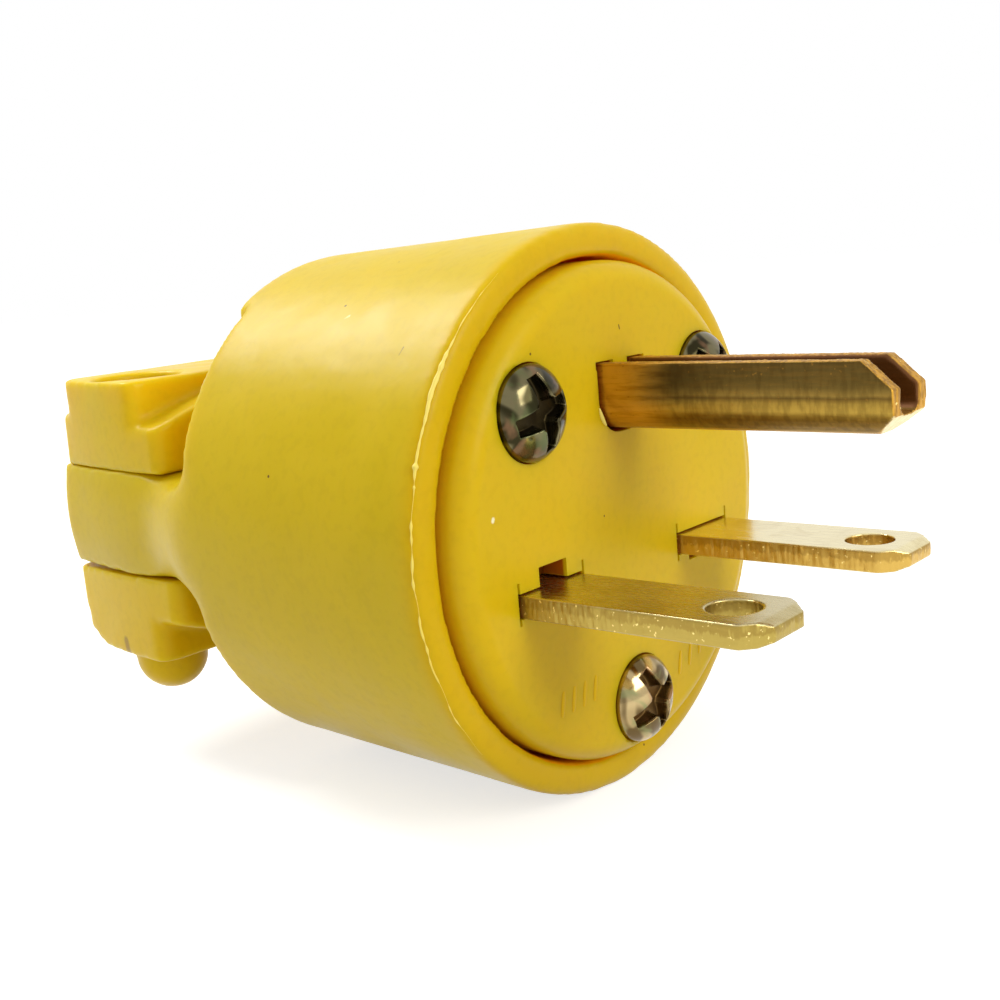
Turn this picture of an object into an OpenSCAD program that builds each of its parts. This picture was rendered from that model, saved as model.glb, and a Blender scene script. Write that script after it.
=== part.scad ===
// Rewirable straight-blade power plug, 2 pole 3 wire grounding, 15 A 250 V pattern.
// The plug's axis lies along Y: the blades point to -Y and the cord leaves at +Y.
// The origin is the centre of the mating face. Z points up, towards the ground pin.

/* [Housing] */
// Outside diameter of the housing at its front rim
housing_d = 39.8; // [38:0.1:44]
// Outside diameter of the housing at its rear shoulder
shoulder_d = 38.4; // [36.5:0.1:40]
// Length of the housing from front rim to rear shoulder
housing_len = 23.85; // [23:0.05:30]
// How far the front rim stands behind the mating face
rim_setback = 1.55; // [0.5:0.05:3]
// Wall of the housing at the front rim
rim_wall = 2.3; // [1.8:0.05:2.6]
// Wall of the housing at its rear end
rear_wall = 2.5; // [2:0.1:4]
// Rounding of the front rim's outer edge
rim_edge_r = 0.5; // [0.2:0.05:0.8]
// Width of the land that stands on the rear shoulder above the neck
land_w = 20.9; // [12:0.1:24]
// Height of that land
land_h = 1.3; // [0.4:0.05:1.6]

/* [Neck] */
// Thickness of the flat neck between the clamp halves
neck_t = 8.2; // [7:0.1:9.5]
// Width of the neck at its widest, on the clamp's seat
neck_w = 32.6; // [31.5:0.1:34]
// Radius of the arc that narrows the neck to the rear, seen from above
neck_arc_r = 78; // [60:1:90]
// Length of the neck behind the rear shoulder
neck_len = 21.5; // [21:0.1:24]
// Length over which the housing's side blends into the neck
blend_len = 8; // [6:0.1:9]
// Fillet between the neck's flats and the rear shoulder
root_r = 2; // [1:0.1:3]
// Rounding of the neck's rear corners
neck_corner_r = 1.2; // [0.8:0.1:2]
// Diameter of the cord passage
cord_d = 17; // [14:0.1:17.4]

/* [Cord clamp] */
// Length of the upper clamp half along the cord
clamp_len = 15.6; // [15:0.1:16.5]
// How much longer the lower half is
lower_extra = 0.6; // [0:0.1:1]
// Distance from the rear shoulder to the front of the clamp
clamp_gap = 5.1; // [4.6:0.1:5.4]
// Length of the upper half's raised block, which carries the screws
block_len = 11.3; // [10.8:0.1:12]
// Length of the lower half's block
lower_block_len = 12.8; // [12:0.1:13]
// Distance from the front of the blocks to the clamp screws
screw_setback = 5.1; // [4.8:0.1:6]
// Length of the saddle in front of the block
saddle_front = 3; // [2.2:0.1:3.4]
// Height of the block above its seat
block_h = 7; // [6.8:0.1:7.6]
// Height of the saddle's outer edge above its seat
saddle_edge_h = 3.4; // [2.8:0.1:3.8]
// Height of the saddle's crown above its seat
saddle_crown_h = 6.5; // [6.2:0.1:6.7]
// Relief between the lower half and the neck, at the rear end
seat_relief = 0.45; // [0.2:0.05:0.7]
// Rounding of the lower block's rear bottom edge
block_round_r = 3.5; // [2:0.1:4]
// Height of the ribs that grip the cord
grip_rib_h = 1; // [0.6:0.1:1.5]
// Thickness of each rib
grip_rib_t = 1.2; // [0.8:0.1:1.8]
// Distance between the ribs
grip_rib_pitch = 3.5; // [2.5:0.1:4]
// Distance between the two clamp screws
clamp_screw_pitch = 23.6; // [23.4:0.1:24.4]
// Diameter of the blind bosses that the clamp screws bite into
boss_d = 5.8; // [5.2:0.1:6]
// How far the bosses stand below the lower block
boss_drop = 3.7; // [2.9:0.1:4.5]

/* [Face] */
// Thickness of the face insulator
face_t = 5; // [4.6:0.1:6]
// Rounding of its front edge
face_edge_r = 1.5; // [0.6:0.05:1.7]
// Distance of the upper face screws from the face insulator's edge
face_screw_in = 4.2; // [4:0.05:4.5]
// Angle of the upper face screws above the horizontal
face_screw_angle = 39.8; // [38.8:0.5:40.8]
// Distance of the lower face screw from the face insulator's edge
low_screw_in = 3.9; // [3.8:0.05:4.2]
// Depth of the counterbore under each face screw's head
face_cbore_h = 0.6; // [0.4:0.05:1]
// Height of the notch that marks a blade's slot
key_h = 1; // [0.5:0.05:1.3]

/* [Blades] */
// Width of a blade
blade_w = 6.35; // [6:0.05:6.6]
// Thickness of a blade
blade_t = 1.5; // [1.4:0.01:1.65]
// Length of a blade in front of the mating face
blade_len = 16.9; // [15.9:0.1:18.3]
// Distance between the middles of the blades
blade_pitch = 18.26; // [18:0.01:18.6]
// Depth of the blades' middle plane below the axis
blade_drop = 3.6; // [3.4:0.05:4]
// Length of the corner chamfers at the tip
blade_tip_len = 1.6; // [1.2:0.1:2]
// Width of the corner chamfers at the tip
blade_tip_w = 1.45; // [1:0.05:1.8]
// Diameter of the detent hole
blade_hole_d = 3.3; // [3:0.1:3.6]
// Distance from the mating face to the detent hole
blade_hole_at = 13.3; // [12.4:0.1:13.5]

/* [Ground pin] */
// Width of the U-shaped ground pin
pin_w = 4.83; // [4.7:0.01:5]
// Height of the ground pin
pin_h = 4.55; // [4.4:0.05:4.8]
// Thickness of its sheet
pin_t = 1.2; // [1:0.05:1.4]
// Outside radius of its bends
pin_bend_r = 1.9; // [1.6:0.05:2.2]
// Length of the pin in front of the mating face
pin_len = 20.3; // [19.5:0.1:22]
// Height of the open top of the pin above the axis
pin_top = 10.6; // [10.3:0.05:10.8]
// Length of the chamfer on the arms' top corners
pin_tip_len = 1.9; // [1.5:0.1:2.2]
// Length of the chamfer under the tip
pin_toe_len = 1.5; // [1.1:0.1:1.8]

/* [Terminals] */
// Thickness of the rear insulator's disc
base_t = 3.6; // [3:0.1:4]
// Length of the barrier walls behind the disc
barrier_len = 10.4; // [9.8:0.1:10.6]
// Thickness of the barrier walls
barrier_t = 1.4; // [1:0.1:1.8]
// Width of a terminal tab
tab_w = 7.9; // [7:0.1:8.4]
// Length of the tabs behind the rear insulator's disc
tab_len = 8.6; // [8.2:0.1:9.2]
// Width of the shoulders that hold a blade in the face
shoulder_w = 9.8; // [9:0.1:10.2]
// Length of those shoulders
shoulder_len = 1.7; // [1.4:0.1:2]
// Side of the square pressure plates
plate_w = 7.6; // [7:0.1:7.8]
// Thickness of the pressure plates
plate_t = 1; // [0.8:0.05:1.2]

/* [Screws] */
// Head diameter of the face screws
face_head_d = 6.2; // [6:0.1:6.6]
// Shank diameter of the face screws
face_shank_d = 3.4; // [3:0.1:3.6]
// Height of the face screws' domed head
face_head_h = 2.4; // [2.1:0.05:2.6]
// Length of the face screws under the head
face_screw_len = 16; // [14.5:0.5:18]
// Head diameter of the clamp and terminal screws
clamp_head_d = 6.2; // [5.8:0.1:6.4]
// Shank diameter of the clamp screws
clamp_shank_d = 3.4; // [3:0.1:3.6]
// Shank diameter of the terminal screws
terminal_shank_d = 3.4; // [3:0.1:3.6]
// Length of the terminal screws under the head
terminal_screw_len = 4.6; // [4.2:0.1:4.8]
// Height of the clamp and terminal screws' pan head
head_h = 2.3; // [1.9:0.05:2.4]

/* [Clearances] */
// Radial clearance of the face insulator in the housing
face_fit = 0.3; // [0.2:0.05:0.5]
// Radial clearance of the rear insulator in the housing
base_fit = 1.2; // [1:0.1:1.4]
// Radial clearance of a screw in a plain hole
hole_fit = 0.3; // [0.2:0.05:0.5]
// Radial clearance of a screw in the hole that it is driven into
thread_fit = 0.05; // [0.03:0.01:0.1]
// Radial clearance of a screw head in its counterbore
head_fit = 0.1; // [0.05:0.05:0.3]
// Clearance between a slot and the metal that passes through it
slot_fit = 0.3; // [0.2:0.05:0.4]

/* [Hidden] */
$fn = 64;

ARC_STEPS = 6;
over = 1;                      // how far a cutter runs past what it cuts

rim_y = rim_setback;
shoulder_y = rim_y + housing_len;
neck_end_y = shoulder_y + neck_len;
front_r = housing_d/2;
shoulder_r = shoulder_d/2;
cavity_front_r = front_r - rim_wall;
cavity_end_y = shoulder_y - rear_wall;
cavity_end_r = cavity_front_r - 1.1;
seat_z = neck_t/2;
cord_r = cord_d/2;

clamp_y = shoulder_y + clamp_gap;
block_y = clamp_y + saddle_front;
neck_wide_y = clamp_y - 1.3;   // where the neck is widest
clamp_screw_x = clamp_screw_pitch/2;
clamp_screw_y = block_y + screw_setback;
clamp_seat_h = 4.1;            // thickness under a clamp screw's head
block_corner_r = 1.2;

base_y = face_t;
base_end_y = base_y + base_t;
tab_end_y = base_end_y + tab_len;
barrier_end_y = base_end_y + barrier_len;
barrier_z = 2.4;               // middle of the level barrier
blade_x = blade_pitch/2;
blade_z = -blade_drop;
pin_floor_z = pin_top - pin_h;
terminal_y = base_end_y + 4.4;
pillar_r = 3.2;
head_rim_h = 0.9;

face_r = cavity_front_r - face_fit;
base_r = cavity_front_r - base_fit;
face_screw_x = (face_r - face_screw_in)*cos(face_screw_angle);
face_screw_z = (face_r - face_screw_in)*sin(face_screw_angle);
face_screw_low = face_r - low_screw_in;

FACE_SCREWS = [[-face_screw_x, face_screw_z], [face_screw_x, face_screw_z], [0, -face_screw_low]];

// ---- helpers -------------------------------------------------------------------

function arc(c, r, a0, a1, n = ARC_STEPS) =
    [for (i = [0:n]) let (a = a0 + (a1 - a0)*i/n) [c[0] + r*cos(a), c[1] + r*sin(a)]];

function mirrored(pts) = [for (i = [len(pts) - 1:-1:0]) [-pts[i][0], pts[i][1]]];

// A bar along Y of radius r, centred on (x, z)
module rod(x, z, y0, y1, r) {
    translate([x, y0, z]) rotate([-90, 0, 0]) cylinder(r = r, h = y1 - y0);
}

// A box between two corners
module block(lo, hi) {
    translate(lo) cube(hi - lo);
}

// A revolved outline: its first coordinate is the radius, its second is Y
module turned(pts) {
    rotate([-90, 0, 0]) rotate_extrude() polygon(pts);
}

// An outline in the Y-Z plane, extruded across the whole width
module across(pts, w) {
    translate([-w/2, 0, 0]) rotate([90, 0, 90]) linear_extrude(w) polygon(pts);
}

// A domed screw with a cross recess, head up, its head seated on z = 0
module pan_screw(head_d, shank_d, length, height) {
    crown = height - head_rim_h;
    head_r = head_d/2;
    dome_r = (head_r*head_r + crown*crown)/(2*crown);
    dome = [for (i = [0:ARC_STEPS]) let (r = head_r*(1 - i/ARC_STEPS))
        [r, height - dome_r + sqrt(dome_r*dome_r - r*r)]];
    difference() {
        union() {
            rotate_extrude() polygon(concat([[0, 0], [head_r, 0]], dome));
            translate([0, 0, -length]) cylinder(d = shank_d, h = length + 0.4);
        }
        for (a = [45, 135])
            rotate([0, 0, a]) translate([-head_d*0.32, -head_d*0.09, height - 1.4])
                cube([head_d*0.64, head_d*0.18, 2]);
    }
}

// ---- housing -------------------------------------------------------------------

// Half width of the neck and of the clamp at y, seen from above
function neck_half(y) = neck_w/2 - pow(y - neck_wide_y, 2)/(2*neck_arc_r);

// Radius of the neck's rounded side at y
function neck_r(y) = norm([neck_half(y), seat_z]);

// Radius behind the shoulder: the housing's side runs smoothly into the neck's
function blend_r(y) =
    let (t = min(1, (y - shoulder_y)/blend_len),
         base = neck_r(max(y, shoulder_y + blend_len)),
         ease = 1 - t*t*(3 - 2*t))
    base + (shoulder_r - neck_r(shoulder_y + blend_len))*ease;

module housing_outline() {
    y1 = neck_end_y - neck_corner_r;
    steps = 24;
    side = [for (i = [0:steps]) let (y = shoulder_y + (y1 - shoulder_y)*i/steps) [blend_r(y), y]];
    turned(concat([[0, rim_y]],
        arc([front_r - rim_edge_r, rim_y + rim_edge_r], rim_edge_r, -90, 0),
        side,
        arc([blend_r(y1) - neck_corner_r, y1], neck_corner_r, 10, 90),
        [[0, neck_end_y]]));
}

// What is cut away above the neck; the inner corner is filleted
module above_neck() {
    far = front_r + over;
    across(concat([[shoulder_y, far]],
        arc([shoulder_y + root_r, seat_z + root_r], root_r, 180, 270),
        [[neck_end_y + over, seat_z], [neck_end_y + over, far]]), 2*far);
}

module pillar(p) {
    web_start = norm(p) + pillar_r - 1;
    difference() {
        union() {
            rod(p[0], p[1], base_end_y, cavity_end_y + over, pillar_r);
            rotate([0, -atan2(p[1], p[0]), 0])
                block([web_start, base_end_y, -1.3], [cavity_front_r + over, cavity_end_y + over, 1.3]);
        }
        rod(p[0], p[1], base_end_y - over, cavity_end_y - 1, face_shank_d/2 + thread_fit);
    }
}

module housing() {
    color("gold")
    difference() {
        union() {
            difference() {
                housing_outline();
                turned([[0, rim_y - over], [cavity_front_r, rim_y - over],
                    [cavity_front_r, base_end_y], [cavity_end_r, cavity_end_y], [0, cavity_end_y]]);
            }
            intersection() {
                housing_outline();
                for (p = FACE_SCREWS) pillar(p);
            }
        }
        difference() {
            above_neck();
            block([-land_w/2, shoulder_y - over, seat_z + root_r],
                [land_w/2, shoulder_y + land_h, front_r]);
        }
        mirror([0, 0, 1]) above_neck();
        rod(0, 0, cavity_end_y - over, neck_end_y + over, cord_r);
        for (s = [-1, 1])
            translate([s*clamp_screw_x, clamp_screw_y, -neck_t])
                cylinder(d = clamp_shank_d + 2*hole_fit, h = 2*neck_t);
    }
}

// ---- cord clamp ----------------------------------------------------------------

// Outline of the clamp from above, between y0 and y1, with its corners rounded
module clamp_plan(y0, y1, front_corner, rear_corner) {
    lean = 10;
    steps = 8;
    a = y0 + front_corner;
    b = y1 - rear_corner;
    right = concat(
        arc([neck_half(a) - front_corner, a], front_corner, -90, 0, 4),
        [for (i = [1:steps]) let (y = a + (b - a)*i/steps) [neck_half(y), y]],
        arc([neck_half(b) - rear_corner, b], rear_corner, lean, 90));
    polygon(concat(right, mirrored(right)));
}

// One half above its seat: an arched saddle, a block across it and ribs for the cord
module clamp_half(whole_len, screw_block_len) {
    rise = saddle_crown_h - saddle_edge_h;
    half = neck_w/2;
    saddle_r = (half*half + rise*rise)/(2*rise);
    ribs = [-1, 0, 1];
    difference() {
        union() {
            intersection() {
                translate([0, 0, seat_z]) linear_extrude(block_h)
                    clamp_plan(clamp_y, clamp_y + whole_len, block_corner_r, neck_corner_r);
                rod(0, seat_z + saddle_crown_h - saddle_r,
                    clamp_y - over, clamp_y + whole_len + over, saddle_r);
            }
            translate([0, 0, seat_z]) linear_extrude(block_h)
                clamp_plan(block_y, block_y + screw_block_len, block_corner_r, block_corner_r);
        }
        difference() {
            rod(0, 0, clamp_y - over, clamp_y + whole_len + over, cord_r);
            for (i = ribs)
                rod(0, 0, clamp_screw_y + i*grip_rib_pitch - grip_rib_t/2,
                    clamp_screw_y + i*grip_rib_pitch + grip_rib_t/2, cord_r + over);
        }
        rod(0, 0, clamp_y - over, clamp_y + whole_len + over, cord_r - grip_rib_h);
    }
}

module cord_clamp_upper() {
    color("gold")
    difference() {
        clamp_half(clamp_len, block_len);
        for (s = [-1, 1]) translate([s*clamp_screw_x, clamp_screw_y, 0]) {
            cylinder(d = clamp_shank_d + 2*hole_fit, h = 2*block_h + seat_z);
            translate([0, 0, seat_z + clamp_seat_h])
                cylinder(d = clamp_head_d + 6*head_fit, h = block_h);
        }
    }
}

module cord_clamp_lower() {
    low_z = -seat_z - block_h;
    ball_z = low_z - boss_drop + boss_d/2;
    end_y = block_y + lower_block_len;
    back_y = clamp_y + clamp_len + lower_extra;
    color("gold")
    difference() {
        union() {
            intersection() {
                mirror([0, 0, 1]) clamp_half(clamp_len + lower_extra, lower_block_len);
                union() {
                    across(concat([[clamp_y - over, 0], [clamp_y - over, low_z]],
                        arc([end_y - block_round_r, low_z + block_round_r], block_round_r, 270, 360),
                        [[end_y, 0]]), neck_w + over);
                    across([[block_y, 0], [block_y, -seat_z - saddle_crown_h],
                        [back_y + over, -seat_z - saddle_crown_h + 0.6],
                        [back_y + over, 0]], neck_w + over);
                }
            }
            for (s = [-1, 1]) translate([s*clamp_screw_x, clamp_screw_y, ball_z]) {
                cylinder(d = boss_d, h = -seat_z - 0.6 - ball_z);
                sphere(d = boss_d);
            }
        }
        across([[clamp_y, -seat_z + over], [clamp_y, -seat_z],
            [back_y, -seat_z - seat_relief],
            [back_y + over, -seat_z - seat_relief],
            [back_y + over, -seat_z + over]], neck_w + over);
        for (s = [-1, 1]) translate([s*clamp_screw_x, clamp_screw_y, ball_z - 0.4])
            cylinder(d = clamp_shank_d + 2*thread_fit, h = block_h + boss_drop);
    }
}

module clamp_screw(s) {
    reach = 2*seat_z + clamp_seat_h + block_h + boss_drop - boss_d/2;
    color("silver")
    translate([s*clamp_screw_x, clamp_screw_y, seat_z + clamp_seat_h])
        pan_screw(clamp_head_d, clamp_shank_d, reach, head_h);
}

// ---- face and rear insulators -----------------------------------------------------

// The opening for one blade, its relief slits and the notch above or below it
module blade_slot(x, key_x, key_up) {
    w = blade_w + 2*slot_fit;
    slit = 0.4;
    low = blade_z - blade_t/2 - 0.04;
    high = blade_z + blade_t/2 + 0.4;
    block([x - w/2, -over, low], [x + w/2, face_t + over, high]);
    for (s = [-1, 1])
        block([x + s*(w/2 - slit/2) - slit/2, -over, low - 0.4],
            [x + s*(w/2 - slit/2) + slit/2, 2.5, high + 0.45]);
    if (key_up)
        block([key_x - 1.45, -over, high - over], [key_x + 1.45, 2, high + key_h]);
    else
        block([key_x - 0.65, -over, low - 0.65*key_h], [key_x + 0.65, 2, low + over]);
}

// The outline of the ground pin's channel, grown by g; it is open at the top
module pin_section(g) {
    r = pin_bend_r + g;
    half = pin_w/2 + g;
    right = concat(
        arc([half - r, pin_floor_z - g + r], r, -90, 0),
        [[half, pin_top + g/6]]);
    polygon(concat(right, mirrored(right)));
}

module along_axis(y0, y1) {
    translate([0, y1, 0]) rotate([90, 0, 0]) linear_extrude(y1 - y0) children();
}

module face_insulator() {
    relief = pin_t/2 + slot_fit + 0.1;
    color("goldenrod")
    difference() {
        turned(concat([[0, 0]],
            arc([face_r - face_edge_r, face_edge_r], face_edge_r, -90, 0),
            [[face_r, face_t], [0, face_t]]));
        for (p = FACE_SCREWS) {
            rod(p[0], p[1], -over, face_cbore_h, face_head_d/2 + head_fit);
            rod(p[0], p[1], -over, face_t + over, face_shank_d/2 + hole_fit);
        }
        blade_slot(-blade_x, -blade_x + 0.2, true);
        blade_slot(blade_x, blade_x - 1.3, false);
        for (s = [-1, 1])
            block([s*blade_x - shoulder_w/2 - slot_fit, face_t - shoulder_len, blade_z - blade_t/2 - slot_fit],
                [s*blade_x + shoulder_w/2 + slot_fit, face_t + over, blade_z + blade_t/2 + slot_fit]);
        along_axis(-over, face_t + over) difference() {
            pin_section(slot_fit);
            tongue_half = pin_w/2 - pin_t - slot_fit;
            translate([-tongue_half, pin_floor_z + pin_t + slot_fit]) square([2*tongue_half, pin_h]);
        }
        for (s = [-1, 1])
            block([s*(pin_w - pin_t)/2 - relief, -over, pin_top - 0.45],
                [s*(pin_w - pin_t)/2 + relief, 1.2, pin_top + 0.1]);
        block([-shoulder_w/2 - slot_fit, face_t - shoulder_len, pin_floor_z - slot_fit],
            [shoulder_w/2 + slot_fit, face_t + over, pin_floor_z + pin_t + slot_fit]);
    }
}

module rear_insulator() {
    color("khaki")
    difference() {
        union() {
            rod(0, 0, base_y, base_end_y, base_r);
            block([-barrier_t/2, base_end_y - over, -face_screw_low + pillar_r + slot_fit],
                [barrier_t/2, barrier_end_y, barrier_z]);
            block([-base_r + 2, base_end_y - over, barrier_z - barrier_t/2],
                [base_r - 2, barrier_end_y, barrier_z + barrier_t/2]);
        }
        for (p = FACE_SCREWS) rod(p[0], p[1], base_y - over, base_end_y + over, face_shank_d/2 + hole_fit);
        for (s = [-1, 1])
            block([s*blade_x - tab_w/2 - slot_fit, base_y - over, blade_z - blade_t/2 - slot_fit],
                [s*blade_x + tab_w/2 + slot_fit, base_end_y + over, blade_z + blade_t/2 + slot_fit]);
        block([-tab_w/2 - slot_fit, base_y - over, pin_floor_z - slot_fit],
            [tab_w/2 + slot_fit, base_end_y + over, pin_floor_z + pin_t + slot_fit]);
    }
}

// ---- contacts ------------------------------------------------------------------------

module blade(s) {
    tip_t = blade_t*0.6;
    bevel = 0.8;
    half = blade_t/2;
    color("darkgoldenrod")
    translate([s*blade_x, 0, blade_z])
    difference() {
        intersection() {
            translate([0, 0, -half]) linear_extrude(blade_t) polygon([
                [-blade_w/2 + blade_tip_w, -blade_len], [blade_w/2 - blade_tip_w, -blade_len],
                [blade_w/2, -blade_len + blade_tip_len], [blade_w/2, face_t - shoulder_len],
                [shoulder_w/2, face_t - shoulder_len], [shoulder_w/2, face_t],
                [tab_w/2, face_t], [tab_w/2, tab_end_y], [-tab_w/2, tab_end_y],
                [-tab_w/2, face_t], [-shoulder_w/2, face_t], [-shoulder_w/2, face_t - shoulder_len],
                [-blade_w/2, face_t - shoulder_len], [-blade_w/2, -blade_len + blade_tip_len]]);
            across([[-blade_len, -tip_t/2], [-blade_len + bevel, -half], [tab_end_y, -half],
                [tab_end_y, half], [-blade_len + bevel, half], [-blade_len, tip_t/2]], 2*shoulder_w);
        }
        translate([0, -blade_hole_at, -blade_t]) cylinder(d = blade_hole_d, h = 2*blade_t);
        translate([0, terminal_y, -blade_t])
            cylinder(d = terminal_shank_d + 2*thread_fit, h = 2*blade_t);
    }
}

module blade_left() { blade(-1); }
module blade_right() { blade(1); }

module ground_pin() {
    chamfer_h = 0.9*pin_tip_len;
    toe_h = 0.8*pin_toe_len;
    color("darkgoldenrod")
    difference() {
        union() {
            intersection() {
                along_axis(-pin_len, face_t) difference() {
                    pin_section(0);
                    pin_section_inside();
                }
                across([[-pin_len, pin_floor_z + toe_h], [-pin_len + pin_toe_len, pin_floor_z - 0.01],
                    [face_t, pin_floor_z - 0.01], [face_t, pin_top], [-pin_len + pin_tip_len, pin_top],
                    [-pin_len, pin_top - chamfer_h]], 2*pin_w);
            }
            block([-shoulder_w/2, face_t - shoulder_len, pin_floor_z],
                [shoulder_w/2, face_t, pin_floor_z + pin_t]);
            block([-tab_w/2, face_t - shoulder_len, pin_floor_z],
                [tab_w/2, tab_end_y, pin_floor_z + pin_t]);
        }
        translate([0, terminal_y, pin_floor_z - over])
            cylinder(d = terminal_shank_d + 2*thread_fit, h = pin_t + 2*over);
    }
}

// The hollow of the channel, which runs out through its open top
module pin_section_inside() {
    r = pin_bend_r - pin_t;
    half = pin_w/2 - pin_t;
    right = concat(
        arc([half - r, pin_floor_z + pin_t + r], r, -90, 0),
        [[half, pin_top + over]]);
    polygon(concat(right, mirrored(right)));
}

// ---- terminal hardware ------------------------------------------------------------------

// A square pressure plate lying on z = 0
module pressure_plate() {
    difference() {
        translate([-plate_w/2, -plate_w/2, 0]) cube([plate_w, plate_w, plate_t]);
        translate([0, 0, -over]) cylinder(d = terminal_shank_d + 2*hole_fit, h = plate_t + 2*over);
    }
}

module terminal_screw() {
    translate([0, 0, plate_t]) pan_screw(clamp_head_d, terminal_shank_d, terminal_screw_len, head_h);
}

// Under a blade the hardware hangs head down; on the ground tab it stands head up
module under_blade(s) {
    translate([s*blade_x, terminal_y, blade_z - blade_t/2]) mirror([0, 0, 1]) children();
}

module on_ground_tab() {
    translate([0, terminal_y, pin_floor_z + pin_t]) children();
}

module terminal_screw_left() { color("darkgoldenrod") under_blade(-1) terminal_screw(); }
module terminal_screw_right() { color("darkgoldenrod") under_blade(1) terminal_screw(); }
module ground_screw() { color("green") on_ground_tab() terminal_screw(); }
module pressure_plate_left() { color("darkgoldenrod") under_blade(-1) pressure_plate(); }
module pressure_plate_right() { color("darkgoldenrod") under_blade(1) pressure_plate(); }
module ground_pressure_plate() { color("darkgoldenrod") on_ground_tab() pressure_plate(); }

// ---- face screws ---------------------------------------------------------------------------

module face_screw(p) {
    color("silver")
    translate([p[0], face_cbore_h, p[1]]) rotate([90, 0, 0])
        pan_screw(face_head_d, face_shank_d, face_screw_len, face_head_h);
}

housing();
face_insulator();
rear_insulator();
blade_left();
blade_right();
ground_pin();
terminal_screw_left();
terminal_screw_right();
ground_screw();
pressure_plate_left();
pressure_plate_right();
ground_pressure_plate();
face_screw(FACE_SCREWS[0]);  // face_screw_left
face_screw(FACE_SCREWS[1]);  // face_screw_right
face_screw(FACE_SCREWS[2]);  // face_screw_bottom
cord_clamp_upper();
cord_clamp_lower();
clamp_screw(-1);  // clamp_screw_left
clamp_screw(1);  // clamp_screw_right
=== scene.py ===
import bmesh
import bpy
import numpy as np
from mathutils import Matrix, Vector


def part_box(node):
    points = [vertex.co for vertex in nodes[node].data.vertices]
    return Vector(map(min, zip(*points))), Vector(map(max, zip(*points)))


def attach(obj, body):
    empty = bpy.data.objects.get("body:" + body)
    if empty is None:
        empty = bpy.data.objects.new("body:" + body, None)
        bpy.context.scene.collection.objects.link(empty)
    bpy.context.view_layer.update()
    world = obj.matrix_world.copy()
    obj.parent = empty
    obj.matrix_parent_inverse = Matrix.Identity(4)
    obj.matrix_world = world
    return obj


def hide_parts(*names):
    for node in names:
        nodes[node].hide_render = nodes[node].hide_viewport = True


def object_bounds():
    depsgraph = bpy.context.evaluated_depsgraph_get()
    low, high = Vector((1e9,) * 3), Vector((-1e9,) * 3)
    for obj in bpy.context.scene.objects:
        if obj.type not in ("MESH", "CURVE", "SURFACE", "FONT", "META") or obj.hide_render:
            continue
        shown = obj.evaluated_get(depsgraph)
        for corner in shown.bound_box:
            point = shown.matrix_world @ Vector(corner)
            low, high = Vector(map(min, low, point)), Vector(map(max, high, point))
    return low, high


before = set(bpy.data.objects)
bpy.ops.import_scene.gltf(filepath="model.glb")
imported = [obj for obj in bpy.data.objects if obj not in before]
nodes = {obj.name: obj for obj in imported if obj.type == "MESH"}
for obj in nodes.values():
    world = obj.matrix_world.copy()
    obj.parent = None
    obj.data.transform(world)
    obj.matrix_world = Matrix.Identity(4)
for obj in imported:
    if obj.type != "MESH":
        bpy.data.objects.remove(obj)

cad_box = [list(corner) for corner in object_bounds()]


# ---- Shell -------------------------------------------------------------------------------------
# The hollow body of the plug, one injection moulding in yellow nylon. Its wide cup holds the face
# disc and its flattened neck carries the cord clamp. The nylon is satin, with soft cloudy patches
# where it cooled and a few dark specks in it; its front lip is painted more orange, a painted glow
# that stands in for light coming through the nylon at the rim.

def new_piece(name, points, faces):
    """A smooth object at the origin from arrays of points in metres and of corner numbers."""
    mesh = bpy.data.meshes.new(name)
    mesh.from_pydata(points.tolist(), [], faces.tolist())
    mesh.validate()
    mesh.shade_smooth()
    piece = bpy.data.objects.new(name, mesh)
    bpy.context.scene.collection.objects.link(piece)
    return piece


def relaxed_skin(name, node, cell, passes, crisp=None):
    """A copy of a solid's skin on an even grid of cells, in millimetres, relaxed as a mould rounds its
    edges. The crisp test takes the points and gives 1 where an edge stays sharp and 0 elsewhere."""
    mesh = nodes[node].data.copy()
    mesh.materials.clear()
    work = bmesh.new()
    work.from_mesh(mesh)
    bmesh.ops.remove_doubles(work, verts=work.verts[:], dist=1e-6)
    bmesh.ops.scale(work, vec=(1000.0, 1000.0, 1000.0), verts=work.verts[:])
    work.to_mesh(mesh)
    work.free()
    rough = bpy.data.objects.new(name + "_grid", mesh)
    bpy.context.scene.collection.objects.link(rough)
    grid = rough.modifiers.new("grid", "REMESH")
    grid.mode = "VOXEL"
    grid.voxel_size = cell
    graph = bpy.context.evaluated_depsgraph_get()
    skin = bpy.data.meshes.new_from_object(rough.evaluated_get(graph))
    bpy.data.objects.remove(rough)
    skin.transform(Matrix.Scale(0.001, 4))
    skin.name = name
    skin.shade_smooth()
    piece = bpy.data.objects.new(name, skin)
    bpy.context.scene.collection.objects.link(piece)
    points, _ = get_points(piece)
    soften(piece, 1.0 - (crisp(points) if crisp else np.zeros(len(points))), passes)
    return piece


def get_points(piece):
    """The piece's points in millimetres and its unit normals, as two arrays."""
    count = len(piece.data.vertices)
    points, normals = np.empty(count * 3, np.float32), np.empty(count * 3, np.float32)
    piece.data.vertices.foreach_get("co", points)
    piece.data.vertex_normals.foreach_get("vector", normals)
    return points.reshape(-1, 3) * 1000.0, normals.reshape(-1, 3).astype(float)


def set_points(piece, points):
    """Writes the points back, from millimetres to metres."""
    piece.data.vertices.foreach_set("co", (points / 1000.0).astype(np.float32).ravel())
    piece.data.update()


def set_mask(piece, name, values):
    """Stores one number a vertex, for a material to read by name."""
    piece.data.attributes.new(name, "FLOAT", "POINT").data.foreach_set("value", values.astype(np.float32))


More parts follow.
